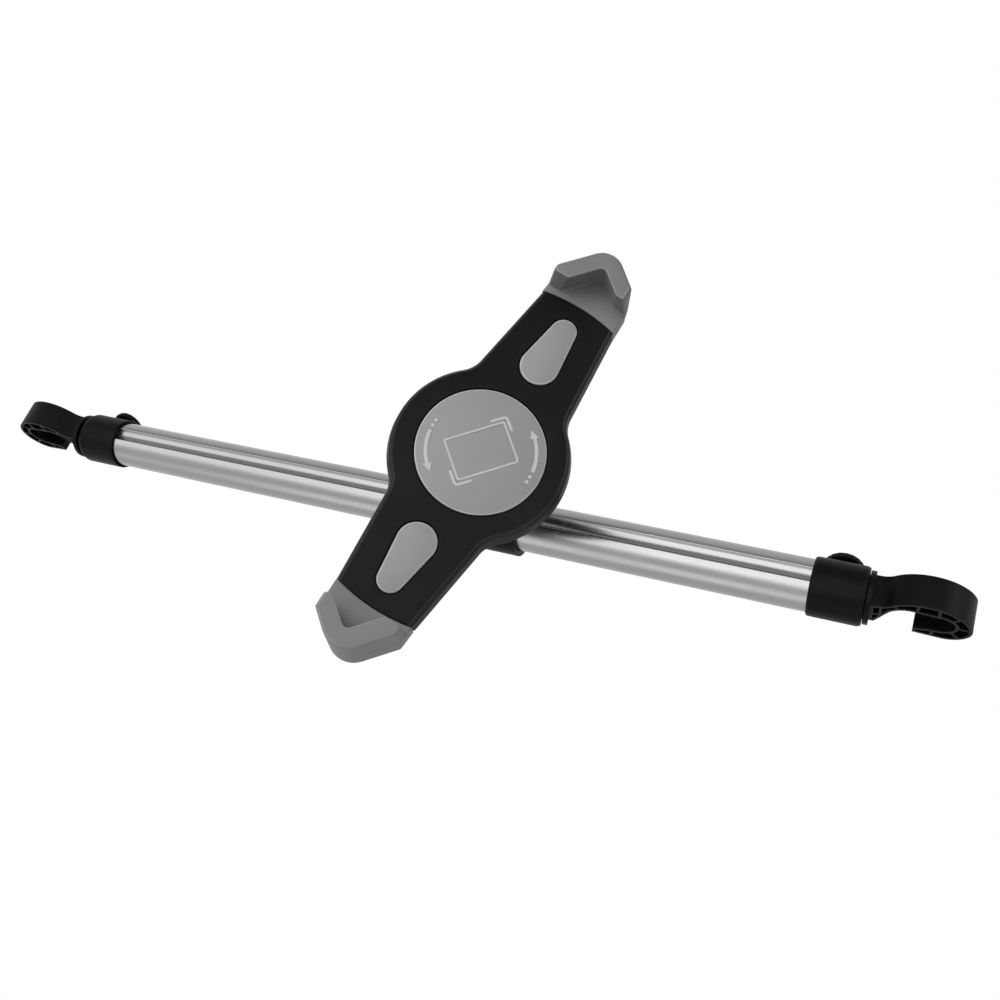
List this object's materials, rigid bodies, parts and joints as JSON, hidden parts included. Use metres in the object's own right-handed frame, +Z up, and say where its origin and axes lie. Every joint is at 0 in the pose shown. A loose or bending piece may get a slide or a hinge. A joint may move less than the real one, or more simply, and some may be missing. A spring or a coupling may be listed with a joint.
{
  "type": "headrest tablet mount",
  "caption": "Bar that clips between a seat's headrest posts and carries a swivelling holder whose sprung corner grips hold a tablet.",
  "frame": {"origin": "on the bar's axis, midway between the two collars, with a headrest post to either side", "axes": "+X along the bar to the right as the rear passenger sees it, -Y toward the rear passenger, +Z up the headrest posts"},
  "size_m": [0.5386, 0.1198, 0.2125],
  "materials": {
    "satin_aluminium": "satin anodised, drawn along the bar",
    "black_nylon": "matt moulded black",
    "black_shell": "semi-gloss moulded black",
    "grey_inlay": "matt mid grey",
    "grey_jaw": "matt dark grey, soft to the touch",
    "brass_insert": "turned brass",
    "steel_screw": "turned steel",
    "steel_ball": "polished steel",
    "acetal": "natural acetal"
  },
  "bodies": {
    "bar": {"rail_tube": "satin_aluminium", "left_collar": "black_nylon", "right_collar": "black_nylon", "left_insert": "brass_insert", "right_insert": "brass_insert"},
    "left_hook": {"left_hook": "black_nylon"},
    "right_hook": {"right_hook": "black_nylon"},
    "left_clamp": {"left_knob": "black_nylon", "left_clamp_screw": "steel_screw"},
    "right_clamp": {"right_knob": "black_nylon", "right_clamp_screw": "steel_screw"},
    "carriage": {"carriage": "black_nylon", "carriage_insert": "brass_insert", "ball_stud": "steel_ball"},
    "carriage_clamp": {"carriage_knob": "black_nylon", "carriage_screw": "steel_screw"},
    "ball_seat": {"ball_seat": "acetal"},
    "lock_ring": {"lock_ring": "black_nylon"},
    "holder": {"back_shell": "black_shell", "front_shell": "black_shell", "disc_inlay": "grey_inlay", "upper_inlay": "grey_inlay", "lower_inlay": "grey_inlay", "pinion_axle": "steel_screw"},
    "upper_jaw": {"upper_jaw": "grey_jaw"},
    "lower_jaw": {"lower_jaw": "grey_jaw"},
    "pinion": {"pinion": "acetal"}
  },
  "joints": [
    {"name": "left_pull_out", "type": "slide", "parent": "bar", "child": "left_hook", "axis": [-1, 0, 0], "range_m": [-0.0028, 0.0572]},
    {"name": "right_pull_out", "type": "slide", "parent": "bar", "child": "right_hook", "axis": [1, 0, 0], "range_m": [0, 0.06]},
    {"name": "left_clamp_turn", "type": "hinge", "parent": "bar", "child": "left_clamp", "pos_m": [-0.2096, 0.00704, 0.01381], "axis": [0, 0.454, 0.891], "range_deg": [-360, 0]},
    {"name": "right_clamp_turn", "type": "hinge", "parent": "bar", "child": "right_clamp", "pos_m": [0.2096, 0.00704, 0.01381], "axis": [0, 0.454, 0.891], "range_deg": [-360, 0]},
    {"name": "carriage_travel", "type": "slide", "parent": "bar", "child": "carriage", "axis": [1, 0, 0], "range_m": [-0.2265, 0.1415]},
    {"name": "carriage_clamp_turn", "type": "hinge", "parent": "carriage", "child": "carriage_clamp", "pos_m": [0.0429, 0.0084, 0.01648], "axis": [0, 0.454, 0.891], "range_deg": [-360, 0]},
    {"name": "ball_swivel", "type": "hinge", "parent": "carriage", "child": "ball_seat", "pos_m": [0.0429, -0.0529, 0], "axis": [0, 0, 1], "range_deg": [-41.3, 2.7]},
    {"name": "ball_tilt", "type": "hinge", "parent": "ball_seat", "child": "lock_ring", "pos_m": [0.0429, -0.0529, 0], "axis": [0.9438, 0.3305, 0], "range_deg": [-30, 14]},
    {"name": "ball_turn", "type": "hinge", "parent": "lock_ring", "child": "holder", "pos_m": [0.0429, -0.0529, 0], "axis": [0.3273, -0.9346, -0.1392], "continuous": true},
    {"name": "upper_jaw_travel", "type": "slide", "parent": "holder", "child": "upper_jaw", "axis": [0.2651, -0.0506, 0.9629], "range_m": [0, 0.05], "stiffness_N_per_m": 120, "springref_m": -0.04},
    {"name": "lower_jaw_travel", "type": "slide", "parent": "holder", "child": "lower_jaw", "axis": [-0.2651, 0.0506, -0.9629], "range_m": [0, 0.05]},
    {"name": "pinion_turn", "type": "hinge", "parent": "holder", "child": "pinion", "pos_m": [0.04814, -0.06785, -0.00223], "axis": [0.3273, -0.9346, -0.1392], "range_deg": [-420, 420]}
  ],
  "couplings": [
    {"joint": "lower_jaw_travel", "follows": "upper_jaw_travel", "ratio": 1},
    {"joint": "pinion_turn", "follows": "upper_jaw_travel", "rad_per_m": 142.86}
  ]
}
